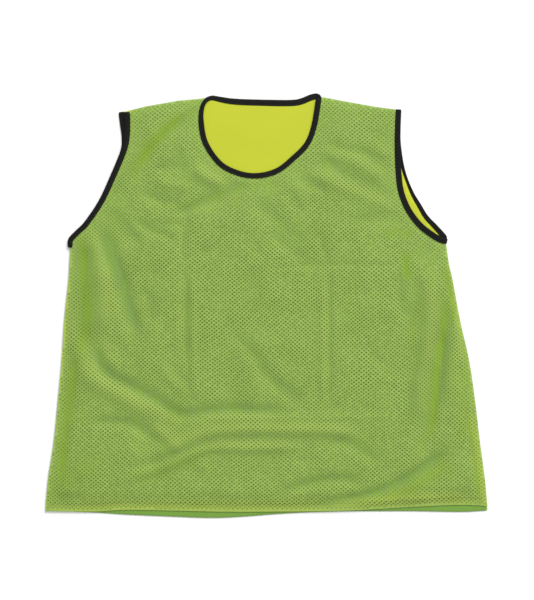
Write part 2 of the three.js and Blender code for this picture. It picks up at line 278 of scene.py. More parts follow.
# Tapes: the edge they bind, and their width at each end and between
Tape = namedtuple("Tape", "face edge widths")
TAPES = [
    Tape("back", "neck", (5.5, 8.2, 9.0, 9.2, 9.0, 8.6)),
    Tape("back", "left_armhole", (8.0, 7.0, 6.0, 4.0, 5.0, 7.6, 8.0)),
    Tape("back", "right_armhole", (8.6, 8.0, 8.4)),
    Tape("front", "neck", (5.2, 7.8, 7.7, 7.6, 7.6, 7.7, 7.8, 7.9, 8.0)),
    Tape("front", "left_armhole", (8.6, 8.4, 8.0)),
    Tape("front", "right_armhole", (7.2, 8.2, 8.8)),
]
# The side of each edge's line that the cloth is on: 1 for its left
CLOTH_SIDE = {"neck": -1, "left_armhole": 1, "right_armhole": -1}
TAPE_HALF_THICKNESS = 1.25
# Height of the stitches on a tape, as a share of that
STITCH_LEVEL = 0.8
# All the way round a tape's section, in metres
TAPE_GIRTH = 0.022
# How far a tape runs on past the underarm and the neck's left corner
TAPE_END = 2.5
# How far an armhole's tape runs on past the shoulder
PAST_SHOULDER = 0.5

STITCH_LENGTH = 2.6
STITCH_PITCH = 3.5
STITCH_RADIUS = 0.24
# How far a stitch bows up, and how thick it is at each share of its length
STITCH_RISE = 0.12
STITCH_FORM = ((0.0, 0.25), (0.15, 0.9), (0.5, 1.0), (0.85, 0.9), (1.0, 0.25))

# The wave texture repeats once in this many metres at a scale of 1
WAVE_TEXTURE_PERIOD = 0.3142


def catmull_rom(points, step):
    """A smooth line through the points, as points about step apart."""
    knots = np.array(points, float)
    last = len(knots) - 1
    dense = []
    for k in range(last):
        before = knots[max(k - 1, 0)]
        start = knots[k]
        end = knots[k + 1]
        after = knots[min(k + 2, last)]
        t = np.linspace(0, 1, CURVE_STEPS, endpoint=False)[:, None]
        slope_in = (end - before) / 2
        slope_out = (after - start) / 2
        cubic = 2 * start - 2 * end + slope_in + slope_out
        square = -3 * start + 3 * end - 2 * slope_in - slope_out
        dense.append(cubic * t**3 + square * t**2 + slope_in * t + start)
    dense.append(knots[-1:])
    return spaced(np.vstack(dense), step)


def run_of(line):
    """How far along the line each of its points is."""
    return np.concatenate([[0], np.cumsum(np.linalg.norm(np.diff(line, axis=0), axis=1))])


def places_on(line, run, at):
    """The places that are this far along the line."""
    return np.stack([np.interp(at, run, line[:, k]) for k in range(2)], axis=-1)


def spaced(line, step):
    """The line with its points about step apart."""
    run = run_of(line)
    count = max(2, math.ceil(run[-1] / step) + 1)
    return places_on(line, run, np.linspace(0, run[-1], count))


def tangents(line):
    """The line's direction at each point, of length 1."""
    ahead = np.vstack([line[1:], line[-1:]]) - np.vstack([line[:1], line[:-1]])
    return ahead / np.linalg.norm(ahead, axis=1)[:, None]


def to_left(line):
    """The direction to the line's left at each point, of length 1."""
    along = tangents(line)
    return np.column_stack([-along[:, 1], along[:, 0]])


def moved(line, distance):
    """The line moved sideways, to its left for a positive distance."""
    return line + distance * to_left(line)


def edge_through(rows, across, up):
    """A smooth edge through a table's rows, with the columns that say how far across and up it is."""
    return catmull_rom([(getattr(row, across), getattr(row, up)) for row in rows], EDGE_STEP)


def edges_of(face):
    """The finished edges of the front or the back."""
    return {
        "hem": edge_through(HEM, "x", face),
        "left_side": edge_through(BODY_SECTIONS, "left", "height"),
        "left_armhole": edge_through(LEFT_ARMHOLE, face, "height"),
        "left_shoulder": np.array(LEFT_SHOULDER, float),
        "neck": catmull_rom(FRONT_NECK if face == "front" else BACK_NECK, EDGE_STEP),
        "right_shoulder": np.array(RIGHT_SHOULDER, float),
        "right_armhole": edge_through(RIGHT_ARMHOLE, face, "height"),
        "right_side": edge_through(BODY_SECTIONS, "right", "height"),
    }


def outline_of(face, inset=0.0, above_hem=0.0):
    """The outline of a layer of the front or the back, inset from its sewn sides and above its hem."""
    edges = edges_of(face)
    hem = edges["hem"] + [0, above_hem]
    left_side = moved(edges["left_side"], inset)
    right_side = moved(edges["right_side"], -inset)[::-1]
    parts = [
        hem[np.abs(hem[:, 0]) <= HEM[-1].x - inset],
        left_side[left_side[:, 1] > hem[-1][1] + 1],
        moved(edges["left_armhole"], CLOTH_IN_TAPE),
        edges["left_shoulder"] - [0, inset],
        moved(edges["neck"], -CLOTH_IN_TAPE)[::-1],
        edges["right_shoulder"][::-1] - [0, inset],
        moved(edges["right_armhole"], -CLOTH_IN_TAPE)[::-1],
        right_side[right_side[:, 1] > hem[0][1] + 1],
    ]
    return np.vstack(parts)


def is_inside(points, outline):
    x, y = points.T
    inside = np.zeros(len(points), bool)
    for (ax, ay), (bx, by) in zip(outline, np.roll(outline, -1, axis=0)):
        if ay == by:
            continue
        crosses = (ay > y) != (by > y)
        inside ^= crosses & (x < (bx - ax) * (y - ay) / (by - ay) + ax)
    return inside


def nearest_on(points, line, closed=True):
    """For each point, the nearest place on the line and its distance."""
    best = np.full(len(points), np.inf)
    place = np.zeros_like(points)
    ends = np.roll(line, -1, axis=0) if closed else line[1:]
    for a, b in zip(line, ends):
        along = b - a
        length = along @ along
        share = np.clip((points - a) @ along / length, 0, 1) if length > 0 else np.zeros(len(points))
        spot = a + share[:, None] * along
        distance = np.linalg.norm(points - spot, axis=1)
        closer = distance < best
        best[closer] = distance[closer]
        place[closer] = spot[closer]
    return place, best


def smoothstep(value):
    """0 below 0 and 1 above 1, with a soft rise between."""
    t = np.clip(value, 0, 1)
    return t * t * (3 - 2 * t)


def rise_between(value, start, end):
    return smoothstep((value - start) / (end - start))


def raised_from(least, share):
    """The least value where share is 0, and 1 where it is 1."""
    return least + (1 - least) * share


def taper(share):
    """Fades a line in and out at its ends."""
    return smoothstep(share * 4.5) * smoothstep((1 - share) * 4.5)


def beside_line(points, row):
    """1 on the row's line, falling softly to 0 at its sides and ends."""
    line = catmull_rom(row.points, FOLD_STEP)
    run = np.linspace(0, 1, len(line))
    most = np.full(len(points), np.inf)
    share = np.zeros(len(points))
    for k in range(len(line) - 1):
        along = line[k + 1] - line[k]
        part = np.clip((points - line[k]) @ along / (along @ along), 0, 1)
        distance = ((points - line[k] - part[:, None] * along) ** 2).sum(1)
        closer = distance < most
        most[closer] = distance[closer]
        share[closer] = (run[k] + part * (run[k + 1] - run[k]))[closer]
    return taper(share) * np.exp(-most / row.width**2)


def soft_waves(points, seed, amplitude, shortest, longest, count=9):
    """Low uneven undulations, the same at each run."""
    chance = np.random.default_rng(seed)
    total = np.zeros(len(points))
    for _ in range(count):
        angle = chance.uniform(0, math.pi)
        length = chance.uniform(shortest, longest)
        start = chance.uniform(0, 2 * math.pi)
        ahead = points[:, 0] * math.cos(angle) + points[:, 1] * math.sin(angle)
        total += np.sin(2 * math.pi * ahead / length + start)
    return amplitude * total / math.sqrt(count)


def fold_heights(points):
    """How far the folds lift the front, or lower it below 0."""
    total = np.zeros(len(points))
    for fold in FOLDS:
        total -= fold.depth * beside_line(points, fold)
    return total


def fold_walls(points):
    """From 0 to 1, how far the folds hold the mesh down at each point, and how far they lift it.

    The walls where they hold it down face away from the key light, and those where they lift it face it. The
    same values paint shade and highlight into the mesh's colour.
    """
    held = np.zeros(len(points))
    lifted = np.zeros(len(points))
    for fold in FOLDS:
        near = abs(fold.depth) * beside_line(points - WALL_SHIFT, fold)
        far = abs(fold.depth) * OTHER_WALL * beside_line(points + WALL_SHIFT, fold)
        down, up = (near, far) if fold.depth > 0 else (far, near)
        held += down / CLING_DEPTH
        lifted += up / LIFT_HEIGHT
    return np.minimum(held, 1), np.minimum(lifted, 1)


def shown_by(stripes, points):
    """How much of the stripes shows, from 0 to 1."""
    most = np.zeros(len(points))
    for stripe in stripes:
        most = np.maximum(most, stripe.strength * beside_line(points, stripe))
    return np.minimum(most, 1)


def free_of_tapes(points):
    """From 0 at the tapes to 1 where they no longer hold the front down."""
    edges = edges_of("front")
    bound = np.vstack([edges["left_armhole"], edges["neck"][::-1], edges["right_armhole"][::-1]])
    _, distance = nearest_on(points, bound, closed=False)
    return smoothstep(distance / TAPES_REACH)


def loft_of_front(points, distance, free):
    """How far the front stands off the back, at a distance in from its edge."""
    crumple = soft_waves(points, seed=3, amplitude=0.34, shortest=45, longest=130)
    crumple += soft_waves(points, seed=19, amplitude=0.12, shortest=16, longest=44)
    folds = rise_between(distance, FOLDS_BEGIN, FOLDS_WHOLE) * (fold_heights(points) + crumple)
    rise = rise_between(distance, LIES_FLAT, FULL_LOFT)
    loft = LOFT * rise * raised_from(LOFT_AT_TAPES, free) + folds
    low = loft < LEAST_LOFT
    loft[low] = LEAST_LOFT * np.exp((loft[low] - LEAST_LOFT) / LEAST_LOFT)
    return (loft - LEAST_LOFT / math.e) * smoothstep(distance / LIES_FLAT)


def front_lining_height(points, outline):
    """The lining keeps the mesh's own form, so that the two lie evenly apart."""
    _, distance = nearest_on(points, outline_of("front"))
    return FRONT_LINING_LEVEL + loft_of_front(points, distance, free_of_tapes(points))


def front_mesh_height(points, outline):
    """The mesh's own form: loft and folds, its standoff from the lining, and the dip at its seams."""
    _, distance = nearest_on(points, outline)
    free = free_of_tapes(points)
    held, lifted = fold_walls(points)
    held = np.maximum(held, shown_by(CONTACTS, points))
    apart = MESH_STANDOFF * (1 + RIDGE_LIFT * lifted) * raised_from(STANDOFF_AT_TAPES, free) * (1 - held)
    apart += soft_waves(points, seed=7, amplitude=0.2, shortest=22, longest=70)
    apart = rise_between(distance, FOLDS_BEGIN, STANDOFF_WHOLE) * np.maximum(apart, 0)
    dip = FRONT_SEAM_DIP * (1 - smoothstep(distance / SEAM_WIDTH))
    return FRONT_MESH_LEVEL + loft_of_front(points, distance, free) + apart - dip


def back_mesh_height(points, outline):
    """The back lies flat, and its threads stay above the floor."""
    _, distance = nearest_on(points, outline)
    rise = BACK_SEAM_RISE * (1 - smoothstep(distance / SEAM_WIDTH))
    waves = soft_waves(points, seed=11, amplitude=0.08, shortest=60, longest=160)
    return np.maximum(BACK_MESH_LEVEL + waves + rise, THREAD_ROUNDING + 0.05)


def back_lining_height(points, outline):
    return BACK_LINING_LEVEL + soft_waves(points, seed=5, amplitude=0.1, shortest=50, longest=140)


def to_row(points, heights):
    """Places in the row frame, in metres."""
    return np.column_stack([points[:, 0], points[:, 1] - HALF_LENGTH, heights]) / 1000


def add_object(name, vertices, faces, material):
    mesh = bpy.data.meshes.new(name)
    mesh.from_pydata(vertices.tolist(), [], faces)
    mesh.update()
    mesh.materials.append(material)
    mesh.shade_smooth()
    obj = bpy.data.objects.new(name, mesh)
    bpy.context.scene.collection.objects.link(obj)
    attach(obj, "root")
    return obj


def seen_from_above(obj):
    """Where the piece's vertices lie in the row frame, as (x, y)."""
    places = np.zeros(len(obj.data.vertices) * 3)
    obj.data.vertices.foreach_get("co", places)
    return places.reshape(-1, 3)[:, :2]


def vertex_of_corners(obj):
    corners = np.zeros(len(obj.data.loops), int)
    obj.data.loops.foreach_get("vertex_index", corners)
    return corners


def plan_uv(obj):
    """Lays the piece's UV map out as it is seen from above."""
    places = seen_from_above(obj)
    low = places.min(0)
    size = (places.max(0) - low).max()
    uv = 0.01 + 0.98 * (places[vertex_of_corners(obj)] - low) / size
    obj.data.uv_layers.new(name="OFBake").data.foreach_set("uv", uv.ravel())


def add_values(obj, name, values):
    attribute = obj.data.attributes.new(name, "FLOAT", "POINT")
    attribute.data.foreach_set("value", values.astype(np.float32))


def corners_of(outline):
    """The outline's points where it turns sharply."""
    before = outline - np.roll(outline, 1, axis=0)
    after = np.roll(outline, -1, axis=0) - outline
    lengths = np.linalg.norm(before, axis=1) * np.linalg.norm(after, axis=1)
    turn = (before * after).sum(1) / np.maximum(lengths, 1e-9)
    return outline[turn < math.cos(math.radians(SHARP_TURN))]


def fitted(points, used, inside, outline):
    """The used points of a grid, and each one's new number.

    Those outside are moved on to the outline, and its sharp corners each get one.
    """
    rim = np.flatnonzero(used & ~inside)
    points[rim], _ = nearest_on(points[rim], outline)
    for corner in corners_of(outline):
        points[rim[np.argmin(np.linalg.norm(points[rim] - corner, axis=1))]] = corner
    return points[used], np.cumsum(used) - 1


def knit_sheet(face, height, material, thickness):
    """The lining of the front or the back, a thin closed sheet of plain knit."""
    outline = outline_of(face, inset=LINING_INSET, above_hem=HEM_DEPTH - LINING_IN_HEM)
    low = outline.min(0) - KNIT_CELL
    columns, rows = np.ceil((outline.max(0) + KNIT_CELL - low) / KNIT_CELL).astype(int) + 1
    x, y = np.meshgrid(low[0] + KNIT_CELL * np.arange(columns), low[1] + KNIT_CELL * np.arange(rows))
    points = np.column_stack([x.ravel(), y.ravel()])
    inside = is_inside(points, outline)
    index = np.arange(x.size).reshape(x.shape)
    quads = np.stack([index[:-1, :-1], index[:-1, 1:], index[1:, 1:], index[1:, :-1]], axis=-1).reshape(-1, 4)
    quads = quads[inside[quads].any(1)]
    used = np.zeros(len(points), bool)
    used[quads] = True
    kept, number = fitted(points, used, inside, outline)
    vertices = to_row(kept, height(kept, outline))
    obj = add_object(f"{face}_lining_cloth", vertices, number[quads].tolist(), material)
    plan_uv(obj)
    solidify = obj.modifiers.new("Thickness", "SOLIDIFY")
    solidify.thickness = thickness / 1000
    solidify.offset = 0
    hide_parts(f"{face}_lining")
    return obj


def mesh_sheet(face, height, material, up=1.0):
    """Warp-knit mesh with real holes. up is 1 where the threads round upwards and -1 downwards."""
    outline = outline_of(face)
    half = np.array([REPEAT_X, REPEAT_Y]) / 2
    low = np.floor(outline.min(0) / half).astype(int) - 1
    high = np.ceil(outline.max(0) / half).astype(int) + 1
    i, j = np.meshgrid(np.arange(low[0], high[0] + 1), np.arange(low[1], high[1] + 1))
    columns = i.shape[1]
    index = np.arange(i.size).reshape(i.shape)
    points = np.column_stack([i.ravel(), j.ravel()]) * half
    points += np.column_stack([soft_waves(points, seed, GRAIN_DRIFT, 70, 240) for seed in (23, 29)])
    crossing = ((i + j) % 2 == 1).ravel()
    inside = is_inside(points, outline)
    middles = index[1:-1, 1:-1].ravel()
    middles = middles[~crossing[middles]]
    rim = np.stack([middles + 1, middles + columns, middles - 1, middles - columns], axis=-1)
    kept = inside[rim].any(1)
    middles = middles[kept]
    rim = rim[kept]
    _, room = nearest_on(points[middles], outline)
    whole = inside[middles] & (room > HOLE_TO_EDGE)
    used = np.zeros(len(points), bool)
    used[rim] = True
    centres = points[middles[whole]].copy()
    crossings, number = fitted(points, used, inside, outline)
    ring = np.column_stack([HOLE_HALF_WIDTH * np.cos(SIX_SIDES), HOLE_HALF_HEIGHT * np.sin(SIX_SIDES)])
    hole_points = (centres[:, None] + ring).reshape(-1, 2)
    every = np.vstack([crossings, hole_points])
    heights = height(every, outline)
    heights[len(crossings):] -= up * THREAD_ROUNDING
    right, top, left, bottom = number[rim[whole]].T
    h0, h60, h120, h180, h240, h300 = (len(crossings) + np.arange(len(centres)) * 6 + k for k in range(6))
    quads = np.vstack([
        np.column_stack([right, top, h60, h0]),
        np.column_stack([top, left, h180, h120]),
        np.column_stack([left, bottom, h240, h180]),
        np.column_stack([bottom, right, h0, h300]),
        number[rim[~whole]],
    ])
    triangles = np.vstack([np.column_stack([top, h120, h60]), np.column_stack([bottom, h300, h240])])
    faces = quads.tolist() + triangles.tolist()
    obj = add_object(f"{face}_mesh_cloth", to_row(every, heights), faces, material)
    plan_uv(obj)
    # 1 at the holes' rims, where the yarn's colour gets painted shade
    add_values(obj, "hole", np.repeat([0.0, 1.0], [len(crossings), len(hole_points)]))
    if face == "front":
        # Painted shade and highlight: the folds' shaded walls darken the yarn's colour and their lit walls
        # lighten it
        held, lifted = fold_walls(every)
        add_values(obj, "held", held)
        add_values(obj, "lifted", lifted)
    add_values(obj, "contact", shown_by(CONTACTS, every))
    add_values(obj, "pale", shown_by(EDGES_SHOWN, every))
    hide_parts(f"{face}_mesh")


def tube_faces(first, rings, sides):
    """The faces of a closed tube, made of rings of vertices from the first one on."""
    last = first + (rings - 1) * sides
    faces = [tuple(reversed(range(first, first + sides))), tuple(range(last, last + sides))]
    for a in range(first, last, sides):
        b = a + sides
        for m in range(sides):
            n = (m + 1) % sides
            faces.append((a + m, a + n, b + n, b + m))
    return faces


def swept(name, line, profiles, material, level):
    """A closed tube along a line. profiles has the tube's section at each point, as (to its left, up)."""
    rings = []
    for place, sideways, section, height in zip(line, to_left(line), profiles, level):
        flat = place + section[:, :1] * sideways
        rings.append(to_row(flat, height + section[:, 1]))
    return add_object(name, np.vstack(rings), tube_faces(0, len(rings), len(profiles[0])), material)


def run_uv(obj, line, round_it):
    """A UV map in metres along and across a swept tape, for its weave."""
    corners = vertex_of_corners(obj)
    across = np.linspace(0, TAPE_GIRTH, round_it, endpoint=False)
    uv = np.column_stack([run_of(line)[corners // round_it] / 1000, across[corners % round_it]])
    obj.data.uv_layers.new(name="Run").data.foreach_set("uv", uv.ravel())


def closed_section(top, half_thickness):
    """A section that is the same above and below, from points over its top."""
    section = np.array(top + [(u, -w) for u, w in reversed(top[1:])])
    section[:, 1] *= half_thickness
    return section


def tape_section(width, half_thickness):
    """The section of a tape folded over the cloth's edge, from its fold inwards and back."""
    fold = [(-0.5, 0.0), (-0.3, 0.55), (0.3, 0.85), (1.5, 1.0), (0.45 * width, 1.06)]
    seam = [(width - 2.6, 0.98), (width - 1.7, 0.78), (width - 0.8, 0.88), (width - 0.1, 0.74), (width, 0.3)]
    return closed_section(fold + seam, half_thickness)


def hem_section():
    """The section of a turned-in hem, from its fold inwards and back."""
    top = [(-0.2, 0.0), (0.0, 0.6), (0.7, 0.95), (2.5, 1.0), (HEM_DEPTH - 2, 0.95), (HEM_DEPTH, 0.5)]
    return closed_section(top, HEM_HALF_THICKNESS)


def node_tree(name):
    made = bpy.data.materials.new(name)
    made.use_nodes = True
    return made, made.node_tree


def toned(color, share):
    """The colour made darker or lighter by this share."""
    return tuple(share * c for c in color)


def put(tree, value, socket):
    """Links a socket to another one, or sets it to a number or a colour."""
    if isinstance(value, bpy.types.NodeSocket):
        tree.links.new(value, socket)
    elif isinstance(value, tuple):
        socket.default_value = (*value, 1)
    else:
        socket.default_value = value


def varied_color(tree, color, low, high, scale):
    """The colour, drifting over the cloth between two shares of itself."""
    place = tree.nodes.new("ShaderNodeTexCoord")
    noise = tree.nodes.new("ShaderNodeTexNoise")
    noise.inputs["Scale"].default_value = scale
    noise.inputs["Detail"].default_value = 3.0
    tree.links.new(place.outputs["Object"], noise.inputs["Vector"])
    ramp = tree.nodes.new("ShaderNodeValToRGB")
    for element, position, share in zip(ramp.color_ramp.elements, (0.3, 0.7), (low, high)):
        element.position = position
        element.color = (*toned(color, share), 1)
    tree.links.new(noise.outputs["Fac"], ramp.inputs["Fac"])
    return ramp.outputs["Color"]


def mixed(tree, factor, first, second):
    mix = tree.nodes.new("ShaderNodeMix")
    mix.data_type = "RGBA"
    put(tree, factor, mix.inputs["Factor"])
    for socket, value in (("A", first), ("B", second)):
        put(tree, value, next(s for s in mix.inputs if s.name == socket and s.type == "RGBA"))
    return next(s for s in mix.outputs if s.type == "RGBA")


def multiplied(tree, first, second):
    product = tree.nodes.new("ShaderNodeMath")
    product.operation = "MULTIPLY"
    put(tree, first, product.inputs[0])
    put(tree, second, product.inputs[1])
    return product.outputs["Value"]


def attribute_of(tree, name):
    """The piece's own value of this name, from 0 to 1."""
    value = tree.nodes.new("ShaderNodeAttribute")
    value.attribute_name = name
    return value.outputs["Fac"]


def bumped(tree, height, strength, distance):
    bump = tree.nodes.new("ShaderNodeBump")
    bump.inputs["Strength"].default_value = strength
    bump.inputs["Distance"].default_value = distance
    tree.links.new(height, bump.inputs["Height"])
    return bump.outputs["Normal"]


def knit_bump(tree, loop, strength, distance):
    """Fine rows of loops, loop metres apart. Gives the bumped normal and the height of the loops."""
    place = tree.nodes.new("ShaderNodeTexCoord")
    rows = []
    for direction in ("X", "Y"):
        wave = tree.nodes.new("ShaderNodeTexWave")
        wave.bands_direction = direction
        wave.inputs["Scale"].default_value = WAVE_TEXTURE_PERIOD / loop
        wave.inputs["Distortion"].default_value = 1.2
        wave.inputs["Detail"].default_value = 1.0
        wave.inputs["Detail Scale"].default_value = 2.0
        tree.links.new(place.outputs["Object"], wave.inputs["Vector"])
        rows.append(wave.outputs["Fac"])
    loops = multiplied(tree, *rows)
    return bumped(tree, loops, strength, distance), loops


def hole_pattern(tree):
    """1 in the middle of each staggered hole and 0 on the threads, from the cloth's own position."""
    place = tree.nodes.new("ShaderNodeTexCoord")
    from_hem = tree.nodes.new("ShaderNodeVectorMath")
    from_hem.inputs[1].default_value = (0, HALF_LENGTH / 1000, 0)
    tree.links.new(place.outputs["Object"], from_hem.inputs[0])
    split = tree.nodes.new("ShaderNodeSeparateXYZ")
    tree.links.new(from_hem.outputs["Vector"], split.inputs["Vector"])
    waves = []
    for axis, repeat in (("X", REPEAT_X), ("Y", REPEAT_Y)):
        wave = tree.nodes.new("ShaderNodeMath")
        wave.operation = "COSINE"
        turns = multiplied(tree, split.outputs[axis], 2 * math.pi * 1000 / repeat)
        tree.links.new(turns, wave.inputs[0])
        waves.append(wave.outputs["Value"])
    reach = tree.nodes.new("ShaderNodeMapRange")
    reach.inputs["From Min"].default_value = -0.3
    reach.inputs["From Max"].default_value = 0.8
    tree.links.new(multiplied(tree, *waves), reach.inputs["Value"])
    return reach.outputs["Result"]


def finish_cloth(made, tree, color, normal, roughness, sheen, gloss=0.25):
    """The material, with its colour, its bumps and how it takes the light."""
    shader = tree.nodes["Principled BSDF"]
    tree.links.new(color, shader.inputs["Base Color"])
    tree.links.new(normal, shader.inputs["Normal"])
    shader.inputs["Roughness"].default_value = roughness
    shader.inputs["Specular IOR Level"].default_value = gloss
    shader.inputs["Sheen Weight"].default_value = sheen
    shader.inputs["Sheen Roughness"].default_value = 0.5
    return made


def thread_material(settings):
    """Green yarn with painted glints and painted shade at the rims of its holes.

    The folds' walls get painted shade and highlight, and the colour changes with the lining's touch and the
    seams.
    """
    made, tree = node_tree("mesh_yarn")
    green = tuple(settings.mesh_color)
    drift = varied_color(tree, green, 0.92, 1.04, 14)
    glint = varied_color(tree, green, 0.85, 1.6, 230)
    color = mixed(tree, 0.5, drift, glint)
    # Painted shade and highlight: the trough colour darkens the folds' shaded walls and the ridge colour
    # lightens their lit walls
    tints = {"lifted": "ridge", "held": "trough", "contact": "pressed", "pale": "seam"}
    for attribute, tint in tints.items():
        color = mixed(tree, attribute_of(tree, attribute), color, tuple(getattr(settings, f"{tint}_color")))
    # Painted shade: the yarn darkens towards the rims of its holes
    rim_shade = multiplied(tree, attribute_of(tree, "hole"), 0.5)
    color = mixed(tree, rim_shade, color, toned(green, 0.6))
    normal, _ = knit_bump(tree, 0.0007, 0.35, 0.0003)
    return finish_cloth(made, tree, color, normal, 0.62, 0.1)


def lining_material(settings):
    """Bright smooth knit of the inside."""
    made, tree = node_tree("lining_knit")
    yellow = tuple(settings.lining_color)
    drift = varied_color(tree, yellow, 0.96, 1.03, 9)
    normal, loops = knit_bump(tree, 0.0009, 0.25, 0.0003)
    color = mixed(tree, multiplied(tree, loops, 0.18), drift, toned(yellow, 0.82))
    return finish_cloth(made, tree, color, normal, 0.55, 0.1)


def shaded_lining_material(settings):
    """The front's lining, painted the green it shows in the shade of the mesh over it, and brighter where
    they touch.
    """
    made, tree = node_tree("veiled_lining_knit")
    # Painted shade: the yellow lining takes this green where the mesh over it shades it
    lining_in_shade = tuple(settings.shaded_lining_color)
    drift = varied_color(tree, lining_in_shade, 0.93, 1.07, 14)
    color = mixed(tree, attribute_of(tree, "contact"), drift, tuple(settings.pressed_color))
    normal, _ = knit_bump(tree, 0.0009, 0.25, 0.0003)
    return finish_cloth(made, tree, color, normal, 0.7, 0.03, gloss=0.1)


def hem_material(name, base, hole):
    """Mesh turned in on itself, so that its holes show only as darker dots."""
    made, tree = node_tree(name)
    drift = varied_color(tree, base, 0.95, 1.05, 16)
    color = mixed(tree, hole_pattern(tree), drift, hole)
    normal, _ = knit_bump(tree, 0.0008, 0.4, 0.0003)
    return finish_cloth(made, tree, color, normal, 0.6, 0.1)


def tape_material(settings):
    """Black woven tape with fine ribs across it."""
    made, tree = node_tree("binding_tape")
    black = tuple(settings.tape_color)
    drift = varied_color(tree, black, 0.8, 1.3, 60)
    run = tree.nodes.new("ShaderNodeUVMap")
    run.uv_map = "Run"
    ribs = tree.nodes.new("ShaderNodeTexWave")
    ribs.bands_direction = "DIAGONAL"
    ribs.inputs["Scale"].default_value = 420
    ribs.inputs["Distortion"].default_value = 0.6
    tree.links.new(run.outputs["UV"], ribs.inputs["Vector"])
    normal = bumped(tree, ribs.outputs["Fac"], 0.45, 0.0003)
    color = mixed(tree, ribs.outputs["Fac"], drift, toned(black, 1.7))
    return finish_cloth(made, tree, color, normal, 0.6, 0.015, gloss=0.09)


def stitch_material(name, color):
    made, tree = node_tree(name)
    drift = varied_color(tree, color, 0.85, 1.2, 900)
    normal, _ = knit_bump(tree, 0.0004, 0.5, 0.0001)
    return finish_cloth(made, tree, drift, normal, 0.4, 0.1)


def tape_line(tape):
    """The tape's free edge, run on a little past the underarm or the neck's left corner."""
    edge = spaced(edges_of(tape.face)[tape.edge], TAPE_STEP)
    way = tangents(edge)
    if tape.edge == "neck":
        return np.vstack([edge, edge[-1] + TAPE_END * way[-1]])
    return np.vstack([edge[0] - TAPE_END * way[0], edge, edge[-1] + PAST_SHOULDER * way[-1]])


def add_tape(tape, line, widths, level, material):
    """A tape with rounded ends along its line."""
    side = CLOTH_SIDE[tape.edge]
    count = np.arange(len(line))
    from_end = np.minimum(count, count[::-1])
    sections = []
    for width, fat in zip(widths, np.sqrt(np.clip(from_end / 2 + 0.2, 0, 1))):
        section = tape_section(width, TAPE_HALF_THICKNESS * fat)
        if tape.edge != "neck":
            section[:, 0] = width / 2 + (section[:, 0] - width / 2) * raised_from(0.55, fat)
        section[:, 0] *= side
        sections.append(section if side > 0 else section[::-1])
    node = f"{tape.face}_{tape.edge}_binding"
    obj = swept(f"{node}_tape", line, sections, material, level)
    run_uv(obj, line, len(sections[0]))
    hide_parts(node)


def stitches(name, line, heights, material):
    """A row of thread stitches that lies on a line."""
    run = run_of(line)
    vertices = []
    faces = []
    for start in np.arange(STITCH_PITCH, run[-1] - STITCH_PITCH, STITCH_PITCH):
        first = len(vertices)
        for share, fat in STITCH_FORM:
            at = start + share * STITCH_LENGTH
            place = places_on(line, run, at)
            ahead = places_on(line, run, at + 0.5) - place
            ahead /= max(np.linalg.norm(ahead), 1e-9)
            lift = np.interp(at, run, heights) + STITCH_RISE * math.sin(math.pi * share)
            for angle in SIX_SIDES:
                sideways = STITCH_RADIUS * fat * math.cos(angle)
                x = place[0] - ahead[1] * sideways
                y = place[1] + ahead[0] * sideways
                z = lift + STITCH_RADIUS * fat * math.sin(angle)
                vertices.append((x / 1000, (y - HALF_LENGTH) / 1000, z / 1000))
        faces += [face[::-1] for face in tube_faces(first, len(STITCH_FORM), len(SIX_SIDES))]
    return add_object(name, np.array(vertices), faces, material)


def color_setting(name, description, default):
    return FloatVectorProperty(name=name, description=description, subtype="COLOR", default=default)


class VestSettings(bpy.types.PropertyGroup):
    """Colours and sizes of the vest."""

    mesh_color: color_setting("Mesh", "Colour of the outer mesh's yarn", (0.257, 0.381, 0.08))
    # Painted shade: darker yarn on the folds' walls that face away from the key light
    trough_color: color_setting(
        "Mesh in Troughs", "Colour of the mesh where the folds hold it down", (0.205, 0.34, 0.078)
    )
    # Painted highlight: lighter, yellower yarn on the folds' walls that face the key light
    ridge_color: color_setting(
        "Mesh on Ridges", "Colour of the mesh where the folds lift it to the light", (0.325, 0.435, 0.084)
    )
    pressed_color: color_setting(
        "Pressed Mesh", "Colour of the mesh where its lining glows through", (0.225, 0.368, 0.028)
    )
    seam_color: color_setting("Seam Edge", "Colour at the sewn edges", (0.36, 0.465, 0.07))
    lining_color: color_setting("Lining", "Colour of the inner knit", (0.481, 0.531, 0.0212))
    # Painted shade: the green that stands in for the yellow lining in the shade under the mesh
    shaded_lining_color: color_setting(
        "Veiled Lining", "Colour of the lining seen through the mesh", (0.235, 0.395, 0.038)
    )
    tape_color: color_setting("Tape", "Colour of the binding tape", (0.0052, 0.0052, 0.0044))
    knit_thickness: FloatProperty(
        name="Knit Thickness",
        description="Thickness of the lining, in millimetres",
        default=0.5,
        min=0.2,
        max=1.0,
    )


class VEST_OT_add_back(bpy.types.Operator):
    """Adds the back: its outer mesh and its lining"""

    bl_idname = "vest.add_back"
    bl_label = "Add Back"

    def execute(self, context):
        settings = context.scene.vest
        mesh_sheet("back", back_mesh_height, thread_material(settings), up=-1.0)
        knit_sheet("back", back_lining_height, lining_material(settings), settings.knit_thickness)
        return {"FINISHED"}


class VEST_OT_add_front(bpy.types.Operator):
    """Adds the front: its lining, and its outer mesh with the folds"""

    bl_idname = "vest.add_front"
    bl_label = "Add Front"

    def execute(self, context):
        settings = context.scene.vest
        knit = shaded_lining_material(settings)
        inner = knit_sheet("front", front_lining_height, knit, settings.knit_thickness)
        places = seen_from_above(inner) * 1000 + [0, HALF_LENGTH]
        add_values(inner, "contact", shown_by(CONTACTS, places))
        mesh_sheet("front", front_mesh_height, bpy.data.materials["mesh_yarn"])
        return {"FINISHED"}


